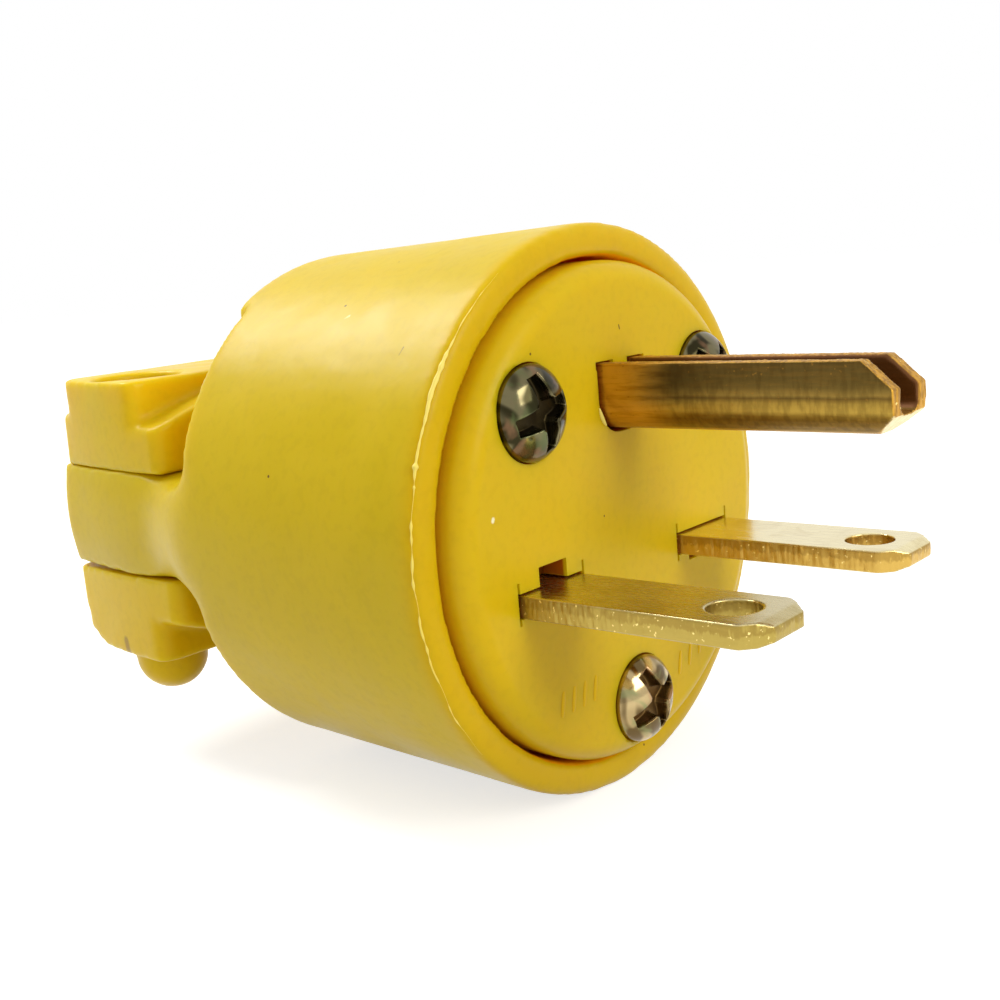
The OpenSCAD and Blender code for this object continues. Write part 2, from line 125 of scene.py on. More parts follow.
def soften(piece, weight, passes):
    """Blends one form into the next: each pass moves a vertex towards the mean of its neighbours by
    half its weight. The weight is a number from 0 to 1 for each vertex."""
    points, _ = get_points(piece)
    pairs = np.empty(len(piece.data.edges) * 2, np.int32)
    piece.data.edges.foreach_get("vertices", pairs)
    a, b = pairs.reshape(-1, 2).T
    near = (weight[a] + weight[b]) > 0.001
    a, b = a[near], b[near]
    count = len(points)
    degree = np.maximum(np.bincount(a, minlength=count) + np.bincount(b, minlength=count), 1)
    for _ in range(passes):
        total = np.stack([np.bincount(a, points[b, k], count) + np.bincount(b, points[a, k], count)
                          for k in range(3)], 1)
        points += (0.5 * weight * (weight > 0.001))[:, None] * (total / degree[:, None] - points)
    set_points(piece, points)


def smooth_copy(name, node, turn_limit):
    """A merged copy of a solid's own mesh, smooth but for the edges that turn more than the limit in
    degrees, with each corner's normal led by the larger faces round it."""
    mesh = nodes[node].data.copy()
    mesh.name = name
    mesh.materials.clear()
    work = bmesh.new()
    work.from_mesh(mesh)
    bmesh.ops.remove_doubles(work, verts=work.verts[:], dist=1e-6)
    bmesh.ops.dissolve_limit(work, angle_limit=np.radians(0.05), verts=work.verts[:], edges=work.edges[:])
    work.to_mesh(mesh)
    work.free()
    mesh.shade_smooth()
    mesh.set_sharp_from_angle(angle=np.radians(turn_limit))
    piece = bpy.data.objects.new(name, mesh)
    bpy.context.scene.collection.objects.link(piece)
    lead = piece.modifiers.new("lead", "WEIGHTED_NORMAL")
    lead.keep_sharp = True
    return piece


def ripple(points, wave, seed, terms=20):
    """A smooth random field on the points, mostly within -1 to 1: a sum of plane waves of one
    wavelength that run in random directions with random phases."""
    draw = np.random.default_rng(seed)
    ways = draw.normal(size=(terms, 3))
    ways *= 2 * np.pi / wave / np.linalg.norm(ways, axis=1, keepdims=True)
    return np.sin(points @ ways.T + draw.uniform(0, 2 * np.pi, terms)).sum(1) / terms ** 0.5


def bead(name, path, radius, sides=10):
    """A closed bead of varying thickness along an open path: the point at (s, t) is the path's point
    plus the radius at s times the circle of angle t across the path."""
    ahead = np.gradient(path, axis=0)
    ahead /= np.linalg.norm(ahead, axis=1, keepdims=True)
    side = np.cross(ahead, [0.0, 1.0, 0.0])
    side /= np.linalg.norm(side, axis=1, keepdims=True)
    over = np.cross(side, ahead)
    angle = np.linspace(0, 2 * np.pi, sides, endpoint=False)[None, :, None]
    ring = side[:, None] * np.cos(angle) + over[:, None] * np.sin(angle)
    points = (path[:, None] + radius[:, None, None] * ring).reshape(-1, 3) / 1000.0
    index = np.arange(len(path) * sides).reshape(-1, sides)
    turned = np.roll(index, -1, axis=1)
    faces = np.stack([index[:-1], turned[:-1], turned[1:], index[1:]], -1).reshape(-1, 4)
    return new_piece(name, points, faces)


def put(tree, kind, inputs=None, **settings):
    """Adds one shader node. Each input takes a value or, where it is given a socket, a link."""
    node = tree.nodes.new(kind)
    for key, value in settings.items():
        setattr(node, key, value)
    for key, value in (inputs or {}).items():
        if isinstance(value, bpy.types.NodeSocket):
            tree.links.new(value, node.inputs[key])
        else:
            node.inputs[key].default_value = value
    return node


def calc(tree, operation, *terms, clamp=False):
    """The result socket of a Math node on the terms, each a number or a socket."""
    node = tree.nodes.new("ShaderNodeMath")
    node.operation = operation
    node.use_clamp = clamp
    for place, term in enumerate(terms):
        if isinstance(term, bpy.types.NodeSocket):
            tree.links.new(term, node.inputs[place])
        else:
            node.inputs[place].default_value = term
    return node.outputs[0]


def mix(tree, share, first, second):
    """The colour socket that goes from the first colour to the second as the share goes from 0 to 1."""
    node = tree.nodes.new("ShaderNodeMix")
    node.data_type = "RGBA"
    for socket, value in ((node.inputs[0], share), (node.inputs[6], first), (node.inputs[7], second)):
        if isinstance(value, bpy.types.NodeSocket):
            tree.links.new(value, socket)
        else:
            socket.default_value = value
    return node.outputs[2]


def step(tree, value, low, high):
    """A smooth mask: 0 where the value is under low, 1 where it is over high."""
    node = put(tree, "ShaderNodeMapRange", {0: value, 1: low, 2: high}, interpolation_type="SMOOTHSTEP")
    return node.outputs[0]


def tone(red, green, blue):
    """A linear colour for a socket from the 0 to 255 numbers of a colour chart."""
    chart = np.array([red, green, blue]) / 255.0
    linear = np.where(chart <= 0.04045, chart / 12.92, ((chart + 0.055) / 1.055) ** 2.4)
    return (*linear.tolist(), 1.0)


def new_group(name, inputs, outputs):
    """An empty node group with named float, vector or colour sockets; returns it with its two ends."""
    group = bpy.data.node_groups.new(name, "ShaderNodeTree")
    for label, kind, start in inputs:
        socket = group.interface.new_socket(label, in_out="INPUT", socket_type="NodeSocket" + kind)
        if start is not None:
            socket.default_value = start
    for label, kind in outputs:
        group.interface.new_socket(label, in_out="OUTPUT", socket_type="NodeSocket" + kind)
    return group, group.nodes.new("NodeGroupInput"), group.nodes.new("NodeGroupOutput")


def moulded_skin():
    """Cloud: a broad noise warped by itself, for the uneven colour of moulded nylon. Fleck: the few
    Voronoi cells whose random colour is high, cut to a small disc, for specks in the melt. Grain: a
    fine noise. Relief: fine orange peel plus faint flow lines, for a Bump node."""
    group, given, result = new_group(
        "moulded_skin",
        [("Vector", "Vector", None), ("Cloud Scale", "Float", 160.0), ("Fleck Scale", "Float", 420.0),
         ("Fleck Share", "Float", 0.02)],
        [("Cloud", "Float"), ("Fleck", "Float"), ("Grain", "Float"), ("Relief", "Float")])
    place = given.outputs["Vector"]
    cloud = put(group, "ShaderNodeTexNoise",
                {"Vector": place, "Scale": given.outputs["Cloud Scale"], "Detail": 3.0, "Distortion": 0.6})
    group.links.new(step(group, cloud.outputs[0], 0.3, 0.72), result.inputs["Cloud"])
    cells = put(group, "ShaderNodeTexVoronoi",
                {"Vector": place, "Scale": given.outputs["Fleck Scale"], "Randomness": 1.0})
    shade = put(group, "ShaderNodeSeparateColor", {"Color": cells.outputs["Color"]})
    rare = calc(group, "GREATER_THAN", shade.outputs[0], calc(group, "SUBTRACT", 1.0, given.outputs["Fleck Share"]))
    spot = calc(group, "SUBTRACT", 1.0, step(group, cells.outputs["Distance"], 0.03, 0.055))
    group.links.new(calc(group, "MULTIPLY", rare, spot), result.inputs["Fleck"])
    peel = put(group, "ShaderNodeTexNoise", {"Vector": place, "Scale": 1500.0, "Detail": 2.0})
    waves = put(group, "ShaderNodeTexNoise", {"Vector": place, "Scale": 330.0, "Detail": 2.0, "Distortion": 1.2})
    group.links.new(peel.outputs[0], result.inputs["Grain"])
    relief = calc(group, "ADD", calc(group, "MULTIPLY", peel.outputs[0], 0.35), waves.outputs[0])
    group.links.new(relief, result.inputs["Relief"])
    return group


skin_group = moulded_skin()


def new_material(name):
    """A material with an empty tree, its Principled shader and the point on the piece in metres."""
    made = bpy.data.materials.new(name)
    made.use_nodes = True
    tree = made.node_tree
    shader = tree.nodes["Principled BSDF"]
    place = put(tree, "ShaderNodeTexCoord").outputs["Object"]
    return made, tree, shader, place


def line_mark():
    """A mask round the straight line from Start to End: 1 within the width, fading to 0 at twice the
    width, from the distance between the point and its nearest point on the line."""
    group, given, result = new_group(
        "line_mark",
        [("Vector", "Vector", None), ("Start", "Vector", None), ("End", "Vector", None), ("Width", "Float", 0.0001)],
        [("Mask", "Float")])

    def vector(operation, first, second):
        return put(group, "ShaderNodeVectorMath", {0: first, 1: second}, operation=operation)

    run = vector("SUBTRACT", given.outputs["End"], given.outputs["Start"]).outputs[0]
    away = vector("SUBTRACT", given.outputs["Vector"], given.outputs["Start"]).outputs[0]
    share = calc(group, "DIVIDE", vector("DOT_PRODUCT", away, run).outputs["Value"],
                 vector("DOT_PRODUCT", run, run).outputs["Value"], clamp=True)
    nearest = put(group, "ShaderNodeVectorMath", {0: run, "Scale": share}, operation="SCALE").outputs[0]
    gap = put(group, "ShaderNodeVectorMath", {0: vector("SUBTRACT", away, nearest).outputs[0]},
              operation="LENGTH").outputs["Value"]
    width = given.outputs["Width"]
    fade = put(group, "ShaderNodeMapRange",
               {0: gap, 1: width, 2: calc(group, "MULTIPLY", width, 2.0), 3: 1.0, 4: 0.0})
    group.links.new(fade.outputs[0], result.inputs["Mask"])
    return group


line_group = line_mark()


def marked(tree, place, colour, mark, start, end, width):
    """The colour with a line of another colour drawn over it, in millimetres on the object."""
    line = put(tree, "ShaderNodeGroup", node_tree=line_group)
    tree.links.new(place, line.inputs["Vector"])
    line.inputs["Start"].default_value = [value / 1000.0 for value in start]
    line.inputs["End"].default_value = [value / 1000.0 for value in end]
    line.inputs["Width"].default_value = width / 1000.0
    return mix(tree, line.outputs["Mask"], colour, mark)


def nylon(name, body, cloudy, fleck, lip_glow=None, gap_glow=None, marks=(), glow=0.5):
    """Moulded nylon: the body colour drifts to the cloudy one; a lip glow colour covers the mouth of the
    shell, a painted glow that stands in for light coming through the nylon at the front rim; and a gap
    glow is the radius, the front, the end and the painted orange glow of the walls beside the gap round
    the disc, which stands in for light that comes through the nylon into the gap. The grain darkens all
    of them a little, and flecks and marks come last. The glow is the share of light that goes into the
    nylon and comes out near by."""
    made, tree, shader, place = new_material(name)
    skin = put(tree, "ShaderNodeGroup", node_tree=skin_group)
    tree.links.new(place, skin.inputs["Vector"])
    skin.inputs["Cloud Scale"].default_value = 150.0
    skin.inputs["Fleck Scale"].default_value = 430.0
    skin.inputs["Fleck Share"].default_value = 0.12
    colour = mix(tree, skin.outputs["Cloud"], body, cloudy)
    depth_in = put(tree, "ShaderNodeSeparateXYZ", {0: place}).outputs[1]
    # Painted glow: the front of the shell is tinted more orange, standing in for light that comes through the nylon
    # at the rim.
    if lip_glow:
        lip_back, lip_front = 0.0035, 0.0005
        colour = mix(tree, step(tree, depth_in, lip_back, lip_front), colour, lip_glow)
    # Painted glow: walls inside the reach and between the two depths are coloured orange, standing in for light that
    # comes through the nylon into the gap beside them.
    if gap_glow:
        reach, front, end, painted_glow_colour = gap_glow
        flat = put(tree, "ShaderNodeVectorMath", {0: place, 1: (1.0, 0.0, 1.0)}, operation="MULTIPLY").outputs[0]
        radius = put(tree, "ShaderNodeVectorMath", {0: flat}, operation="LENGTH").outputs["Value"]
        between = calc(tree, "MULTIPLY", step(tree, depth_in, front, front + 0.0002),
                       step(tree, depth_in, end + 0.0004, end))
        inside = calc(tree, "MULTIPLY", step(tree, radius, reach + 0.0001, reach - 0.0001), between)
        colour = mix(tree, inside, colour, painted_glow_colour)
    colour = mix(tree, calc(tree, "MULTIPLY", step(tree, skin.outputs["Grain"], 0.45, 0.7), 0.05), colour, fleck)
    colour = mix(tree, skin.outputs["Fleck"], colour, fleck)
    for mark in marks:
        colour = marked(tree, place, colour, *mark)
    tree.links.new(colour, shader.inputs["Base Color"])
    smoothest, roughest = 0.3, 0.42
    gloss = put(tree, "ShaderNodeMapRange", {0: skin.outputs["Cloud"], 3: smoothest, 4: roughest}).outputs[0]
    tree.links.new(gloss, shader.inputs["Roughness"])
    bump = put(tree, "ShaderNodeBump",
               {"Height": skin.outputs["Relief"], "Strength": 0.35, "Distance": 0.00006})
    tree.links.new(bump.outputs[0], shader.inputs["Normal"])
    shader.inputs["Specular IOR Level"].default_value = 0.12
    shader.inputs["Subsurface Weight"].default_value = glow
    shader.inputs["Subsurface Radius"].default_value = (0.0030, 0.0021, 0.0002)
    shader.inputs["Subsurface Scale"].default_value = 1.0
    return made


def dress(node, finish):
    """Gives a carried-over solid its finish."""
    piece = nodes[node]
    piece.data.materials.clear()
    piece.data.materials.append(finish)


def fit_out(piece, finish, label, *stands_for):
    """Gives a new piece its finish and its body, and hides the solids that it stands for."""
    piece.data.materials.append(finish)
    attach(piece, "root")
    if stands_for:
        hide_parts(*stands_for)


dark_mark = tone(96, 62, 12)
# Painted glow: the gap glow colours the inner walls beside the gap round the disc bright orange, for light that
# comes through the nylon into that gap.
shell_nylon = nylon("shell_nylon", tone(210, 181, 8), tone(214, 184, 18), tone(104, 70, 16), lip_glow=tone(214, 173, 12),
                    gap_glow=(0.0178, 0.0017, 0.0065, tone(250, 170, 6)),
                    marks=[(tone(196, 160, 20), (-10.9, 4.8, 16.4), (-14.9, 5.8, 12.9), 0.03),
                           (dark_mark, (-14.75, 5.75, 13.05), (-15.1, 5.85, 12.6), 0.05),
                           (tone(250, 236, 160), (-12.6, 12.7, 15.1), (-12.8, 13.0, 15.0), 0.09)])


def seam(points):
    """1 near the faces on which the clamp halves sit on the neck, and 0 a little way off."""
    seat_height, spread, clamp_front = 4.1, 1.1, 31
    return (0.95 * np.exp(-((abs(points[:, 2]) - seat_height) / spread) ** 4)
            * (points[:, 1] > clamp_front))


shell = relaxed_skin("shell", "housing", 0.36, 6, seam)

# The neck runs into the shoulder in one soft sweep on each side: the relaxing is strong there, over
# the neck's height and about the shoulder's depth, and leaves the rest alone.
points, _ = get_points(shell)
neck_reach, shoulder_at, shoulder_reach, core = 4.8, 27.5, 5.0, 13
flank = (np.exp(-(points[:, 2] / neck_reach) ** 6)
         * np.exp(-((points[:, 1] - shoulder_at) / shoulder_reach) ** 4)
         * (abs(points[:, 0]) > core))
soften(shell, flank, 130)

# Moulded walls sink a little where they cool: broad shallow hollows, and smaller ones in them.
points, normals = get_points(shell)
sink = 0.018 * ripple(points, 7.0, 3) + 0.006 * ripple(points, 2.2, 4)
set_points(shell, points + normals * np.minimum(sink, 0.0)[:, None])
fit_out(shell, shell_nylon, "yellow_nylon", "housing")

# A thin uneven fin of flash runs along the shell's front corner on the side of the mould's split.
# Its thickness is a small wandering one plus a bell at each angle where it is heavier or torn off.
first, last = -40, 60
turn = np.radians(np.linspace(first, last, 800))
along_rim = np.stack([turn * 19.9, turn * 0, turn * 0], 1)
wander = ripple(along_rim, 2.1, 8)
corner_r, corner_y = 19.74, 1.86
fin_r = corner_r + 0.02 * wander
fin_path = np.stack([-fin_r * np.cos(turn), corner_y + 0.05 * wander, fin_r * np.sin(turn)], 1)
ends = np.clip((np.degrees(turn) - first) / 25, 0, 1) * np.clip((last - np.degrees(turn)) / 15, 0, 1)
thick = 0.035 + 0.03 * wander + 0.03 * ripple(along_rim, 0.6, 9)
for middle, spread, more in ((19.0, 0.5, 0.12), (15.5, 0.35, 0.07), (34.0, 9.0, 0.06), (12.5, 0.6, -0.1)):
    thick = thick + more * np.exp(-((np.degrees(turn) - middle) / spread) ** 2)
fin = bead("shell_flash", fin_path, np.clip(thick, 0.012, None) * ends + 0.004)
flash_nylon = nylon("flash_nylon", tone(252, 232, 120), tone(250, 226, 100), tone(240, 206, 60), glow=0.0)
fit_out(fin, flash_nylon, "yellow_nylon")


# ---- Face disc and wiring deck ------------------------------------------------------------------
# The front insulator is a separate disc in the same yellow, pressed into the shell's mouth and held
# by three screws. Behind it a cream phenolic deck carries the contacts and their terminals.

# Painted glow: on the face disc the gap glow colours the walls inside its slots and holes orange-brown, for light
# that comes through the nylon into them.
face_nylon = nylon("face_nylon", tone(218, 181, 12), tone(216, 182, 22), tone(104, 70, 16),
                   gap_glow=(0.0162, 0.0002, 0.006, tone(184, 104, 14)),
                   marks=[(tone(252, 244, 200), (-14.35, 0.0, 2.5), (-14.4, 0.0, 2.4), 0.09),
                          (dark_mark, (0.1, 0.0, 12.9), (0.16, 0.0, 12.65), 0.035),
                          (dark_mark, (-3.0, 0.0, 0.4), (-3.0, 0.0, 0.36), 0.04)])
face = smooth_copy("face_skin", "face_insulator", 35)

# The solid's slots leave the blades a wide gap. On the disc that is seen, each slot's roof comes down
# on the blade and the walls of the slit beside it stand a little further out.
points, _ = get_points(face)
roof_height, slit_half_width, slot_middle, close = -2.45, 3.075, -3.4, 0.02
for low, high in (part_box("blade_left"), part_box("blade_right")):
    aside = points[:, 0] - (low.x + high.x) * 500.0
    roof = (abs(points[:, 2] - roof_height) < close) & (abs(aside) < 3.6)
    points[roof, 2] -= 0.26
    jamb = (abs(abs(aside) - slit_half_width) < close) & (abs(points[:, 2] - slot_middle) < 2.2)
    points[jamb, 0] += 0.18 * np.sign(aside[jamb])
set_points(face, points)
fit_out(face, face_nylon, "yellow_face", "face_insulator")

# A pale curl of flash is left at the lower corner of the ground pin's opening, and plain raised
# strokes stand where such a face carries its markings.
pale_nylon = nylon("curl_nylon", tone(244, 228, 120), tone(236, 216, 92), tone(226, 196, 60), glow=0.0)
turn = np.radians(np.linspace(188, 226, 60))
corner_x, corner_z, curl_r = -0.52, 7.98, 2.24
curl_path = np.stack([corner_x + curl_r * np.cos(turn), 0.0 * turn - 0.02, corner_z + curl_r * np.sin(turn)], 1)
curl = bead("slot_flash", curl_path, 0.02 + 0.13 * np.sin(np.linspace(0, np.pi, 60)) ** 0.6)
fit_out(curl, pale_nylon, "yellow_face")
stroke_nylon = nylon("stroke_nylon", tone(226, 184, 16), tone(222, 180, 20), tone(200, 150, 20), glow=0.0)
stroke_feet = [(-9.1, -11.9), (-7.9, -11.9), (-6.7, -11.9), (-5.5, -11.9), (5.0, -13.2), (6.4, -12.9), (7.8, -12.4)]
stroke_lean, stroke_height, stroke_flatness = 0.35, 1.7, 0.35
for number, (x, z) in enumerate(stroke_feet):
    rise = np.linspace(0, 1, 14)
    path = np.stack([x + stroke_lean * rise, 0.0 * rise, z + stroke_height * rise], 1)
    stroke = bead(f"face_stroke_{number + 1}", path, 0.2 * np.sin(np.linspace(0.2, np.pi - 0.2, 14)) ** 0.35)
    points, _ = get_points(stroke)
    set_points(stroke, points * [1.0, stroke_flatness, 1.0])
    fit_out(stroke, stroke_nylon, "yellow_face")


def phenolic(name):
    """Cream moulding resin: a fine dark grain over a slow drift of tint."""
    made, tree, shader, place = new_material(name)
    grain = put(tree, "ShaderNodeTexNoise", {"Vector": place, "Scale": 2600.0, "Detail": 4.0})
    drift = put(tree, "ShaderNodeTexNoise", {"Vector": place, "Scale": 130.0, "Detail": 2.0})
    colour = mix(tree, step(tree, drift.outputs[0], 0.35, 0.7), tone(206, 196, 164), tone(188, 176, 140))
    colour = mix(tree, step(tree, grain.outputs[0], 0.6, 0.72), colour, tone(150, 138, 104))
    tree.links.new(colour, shader.inputs["Base Color"])
    shader.inputs["Roughness"].default_value = 0.55
    bump = put(tree, "ShaderNodeBump", {"Height": grain.outputs[0], "Strength": 0.3, "Distance": 0.00003})
    tree.links.new(bump.outputs[0], shader.inputs["Normal"])
    return made


dress("rear_insulator", phenolic("cream_phenolic"))


# ---- Brass contacts -----------------------------------------------------------------------------
# Two flat blades and a folded U-shaped ground pin, all stamped from hard brass strip. The rolled
# faces are brushed along the strip and stained, and the sheared edges are rough and more golden.

def brass_wear():
    """Streak: noise drawn out along the strip, for rolling and insertion marks. Stain: warped broad
    noise, for tarnish. Shear: noise drawn out through the strip's thickness, for a sheared edge. Pit:
    small dots where a fine noise peaks."""
    group, given, result = new_group(
        "brass_wear",
        [("Vector", "Vector", None), ("Streak Scale", "Float", 2600.0), ("Stretch", "Float", 0.04)],
        [("Streak", "Float"), ("Stain", "Float"), ("Shear", "Float"), ("Pit", "Float")])
    axes = put(group, "ShaderNodeSeparateXYZ", {0: given.outputs["Vector"]}).outputs
    long_way = calc(group, "MULTIPLY", axes[1], given.outputs["Stretch"])
    drawn = put(group, "ShaderNodeCombineXYZ", {0: axes[0], 1: long_way, 2: axes[2]}).outputs[0]
    streak = put(group, "ShaderNodeTexNoise",
                 {"Vector": drawn, "Scale": given.outputs["Streak Scale"], "Detail": 3.0})
    stain = put(group, "ShaderNodeTexNoise",
                {"Vector": given.outputs["Vector"], "Scale": 380.0, "Detail": 4.0, "Distortion": 0.8})
    thin = put(group, "ShaderNodeCombineXYZ",
               {0: axes[0], 1: axes[1], 2: calc(group, "MULTIPLY", axes[2], 0.3)}).outputs[0]
    shear = put(group, "ShaderNodeTexNoise", {"Vector": thin, "Scale": 2400.0, "Detail": 4.0})
    pit = put(group, "ShaderNodeTexNoise", {"Vector": given.outputs["Vector"], "Scale": 3400.0, "Detail": 2.0})
    group.links.new(streak.outputs[0], result.inputs["Streak"])
    group.links.new(stain.outputs[0], result.inputs["Stain"])
    group.links.new(shear.outputs[0], result.inputs["Shear"])
    group.links.new(step(group, pit.outputs[0], 0.66, 0.74), result.inputs["Pit"])
    return group


wear_group = brass_wear()


def ramp(tree, value, stops):
    """A colour socket that runs through the given colours at the given places from 0 to 1."""
    node = put(tree, "ShaderNodeValToRGB", {0: value})
    line = node.color_ramp
    for place, colour in stops[1:-1]:
        line.elements.new(place).color = colour
    line.elements[0].position, line.elements[0].color = stops[0]
    line.elements[-1].position, line.elements[-1].color = stops[-1]
    return node.outputs[0]


def brass(name, clean, stained, torn, torn_dark, rough=0.2, torn_middle=None, painted_reflection_bands=None):
    """Brass strip. The piece's torn mask marks the sheared edges, which are dark above a wavy
    fracture line and golden below, with small bright points that are painted glints. Its toe mask marks
    a bevel painted pale as a highlight, and its inner mask a browned inner face. Painted reflection bands
    are colours up the height of a face that looks sideways, standing in for what it mirrors: the lowest
    and highest point, where they fade out and in along the strip, and the stops."""
    made, tree, shader, place = new_material(name)
    wear = put(tree, "ShaderNodeGroup", node_tree=wear_group)
    wear.inputs["Streak Scale"].default_value = 5200.0
    wear.inputs["Stretch"].default_value = 0.1
    tree.links.new(place, wear.inputs["Vector"])
    axes = put(tree, "ShaderNodeSeparateXYZ", {0: place}).outputs
    edge = put(tree, "ShaderNodeAttribute", attribute_name="torn").outputs["Fac"]
    colour = mix(tree, calc(tree, "MULTIPLY", step(tree, wear.outputs["Streak"], 0.5, 0.75), 0.35), clean, stained)
    colour = mix(tree, calc(tree, "MULTIPLY", step(tree, wear.outputs["Stain"], 0.5, 0.75), 0.5), colour, stained)
    # Painted reflections: colours up the height of the sideways faces stand in for the surroundings that they
    # mirror.
    if painted_reflection_bands:
        low, high, fade, stops = painted_reflection_bands
        facing = put(tree, "ShaderNodeSeparateXYZ", {0: put(tree, "ShaderNodeTexCoord").outputs["Normal"]}).outputs
        height = calc(tree, "ADD", axes[2], calc(tree, "MULTIPLY", wear.outputs["Stain"], 0.0002))
        reflection_band = ramp(tree, put(tree, "ShaderNodeMapRange", {0: height, 1: low, 2: high}).outputs[0], stops)
        weave = calc(tree, "MULTIPLY", step(tree, wear.outputs["Shear"], 0.4, 0.62), 0.34)
        reflection_band = mix(tree, weave, reflection_band, tone(70, 52, 20))
        there = calc(tree, "MULTIPLY", step(tree, calc(tree, "ABSOLUTE", facing[0]), 0.25, 0.6),
                     step(tree, axes[1], *fade))
        colour = mix(tree, there, colour, reflection_band)
    colour = mix(tree, calc(tree, "MULTIPLY", wear.outputs["Pit"], 0.5), colour, stained)
    grey = calc(tree, "MULTIPLY", step(tree, wear.outputs["Streak"], 0.42, 0.66), 0.14)
    colour = mix(tree, grey, colour, torn_dark)
    if torn_middle is None:
        fracture = step(tree, wear.outputs["Shear"], 0.4, 0.6)
    else:
        wavy = calc(tree, "ADD", axes[2], calc(tree, "MULTIPLY", wear.outputs["Shear"], 0.0012))
        fracture = step(tree, wavy, torn_middle + 0.00055, torn_middle + 0.00075)
    rough_edge = mix(tree, calc(tree, "MULTIPLY", fracture, 0.75), torn, torn_dark)
    rough_edge = mix(tree, step(tree, wear.outputs["Shear"], 0.56, 0.7), rough_edge, torn)
    # Painted glints: small pale points on the sheared edges stand in for light caught by the torn grain.
    rough_edge = mix(tree, calc(tree, "MULTIPLY", wear.outputs["Pit"], 0.9), rough_edge, tone(255, 232, 150))
    colour = mix(tree, edge, colour, rough_edge)
    toe = put(tree, "ShaderNodeAttribute", attribute_name="toe").outputs["Fac"]
    # Painted highlight: the bevel under the pin's end is painted pale, for the light from above that it reflects.
    painted_bevel_highlight = mix(tree, wear.outputs["Shear"], tone(248, 240, 204), tone(206, 186, 120))
    colour = mix(tree, toe, colour, painted_bevel_highlight)
    inner = put(tree, "ShaderNodeAttribute", attribute_name="inner").outputs["Fac"]
    browned = mix(tree, wear.outputs["Stain"], tone(84, 48, 14), tone(122, 74, 24))
    colour = mix(tree, inner, colour, browned)
    tree.links.new(colour, shader.inputs["Base Color"])
    tree.links.new(calc(tree, "SUBTRACT", 1.0, calc(tree, "MULTIPLY", inner, 0.45)), shader.inputs["Metallic"])
    gloss = put(tree, "ShaderNodeMapRange",
                {0: wear.outputs["Streak"], 1: 0.3, 2: 0.7, 3: rough + 0.08, 4: rough - 0.04}).outputs[0]
    tree.links.new(calc(tree, "ADD", gloss, calc(tree, "MULTIPLY", edge, 0.16)), shader.inputs["Roughness"])
    height = mix(tree, edge, wear.outputs["Streak"], wear.outputs["Shear"])
    reach = calc(tree, "ADD", 0.000006, calc(tree, "MULTIPLY", edge, 0.000025))
    bump = put(tree, "ShaderNodeBump", {"Height": height, "Strength": 0.8, "Distance": reach})
    tree.links.new(bump.outputs[0], shader.inputs["Normal"])
    return made


def stamped(node, sheared, finish, seed, toe=None, inner=None):
    """A contact with eased edges, its sheared faces roughened by a few hundredths of a millimetre
    along their normals. Each test takes points and normals and gives a number from 0 to 1."""
    piece = relaxed_skin(node + "_metal", node, 0.12, 2)
    points, normals = get_points(piece)
    torn = sheared(points, normals)
    for label, test in (("toe", toe), ("inner", inner)):
        set_mask(piece, label, test(points, normals) if test else np.zeros(len(points)))
    tear = ripple(points * [1.0, 1.0, 0.25], 0.32, seed) + 0.6 * ripple(points * [1.0, 1.0, 0.4], 0.9, seed + 1)
    set_points(piece, points - normals * (torn * (0.014 + 0.012 * tear))[:, None])
    set_mask(piece, "torn", torn)
    fit_out(piece, finish, "brass_blade", node)


def strip_edge(points, normals):
    """The faces that don't look up or down, which the press has sheared."""
    return np.clip((0.75 - abs(normals[:, 2])) / 0.3, 0, 1)


blade_middle = -0.0036
# Painted reflections: both blades are the same brass; the near blade's copy is darker, for the shaded disc it
# mirrors, and the far blade's copy paler, for the bright room it mirrors.
shaded_near_brass = brass("shaded_near_brass", tone(206, 192, 144), tone(180, 162, 104), tone(176, 154, 78), tone(152, 127, 60),
                   rough=0.24, torn_middle=blade_middle)
lit_far_brass = brass("lit_far_brass", tone(240, 226, 176), tone(214, 194, 136), tone(204, 168, 84), tone(164, 130, 60),
                  rough=0.2, torn_middle=blade_middle)
for node, finish, seed in (("blade_left", shaded_near_brass, 21), ("blade_right", lit_far_brass, 25)):
    stamped(node, strip_edge, finish, seed)

# The ground pin's sides carry painted reflections: olive in their upper half, with two darker lines and
# a bright band below them, for the dark room and shaded disc they mirror, and more golden near the
# disc, where the bands fade out.
pin_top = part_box("ground_pin")[1].z
reflection_band_stops = [(0.0, tone(176, 150, 84)), (0.1, tone(140, 112, 50)), (0.2, tone(128, 98, 40)),
              (0.32, tone(172, 142, 62)), (0.42, tone(160, 130, 56)), (0.475, tone(104, 82, 38)),
              (0.51, tone(140, 114, 54)), (0.6, tone(104, 84, 40)), (0.68, tone(94, 76, 36)),
              (1.0, tone(86, 68, 34))]
pin_brass = brass("pin_brass", tone(204, 158, 70), tone(150, 108, 44), tone(206, 156, 56), tone(128, 88, 30),
                  rough=0.34, painted_reflection_bands=(pin_top - 0.0046, pin_top + 0.0006, (-0.0025, -0.006), reflection_band_stops))
pin_end = -17


def pin_torn(points, normals):
    """The arms' top edges and the blunt end."""
    top_edge = np.clip((abs(normals[:, 2]) - 0.6) / 0.3, 0, 1) * (points[:, 2] > pin_top * 1000 - 2.2)
    end_face = np.clip((-normals[:, 1] - 0.4) / 0.3, 0, 1) * (points[:, 1] < pin_end)
    return np.maximum(top_edge, end_face)


def pin_toe(points, normals):
    """A painted highlight: the bevel under the end, painted pale for the light from above that it reflects."""
    forward = np.clip((-normals[:, 1] - 0.35) / 0.2, 0, 1)
    down = np.clip((-normals[:, 2] - 0.3) / 0.2, 0, 1)
    return forward * down * (points[:, 1] < pin_end)


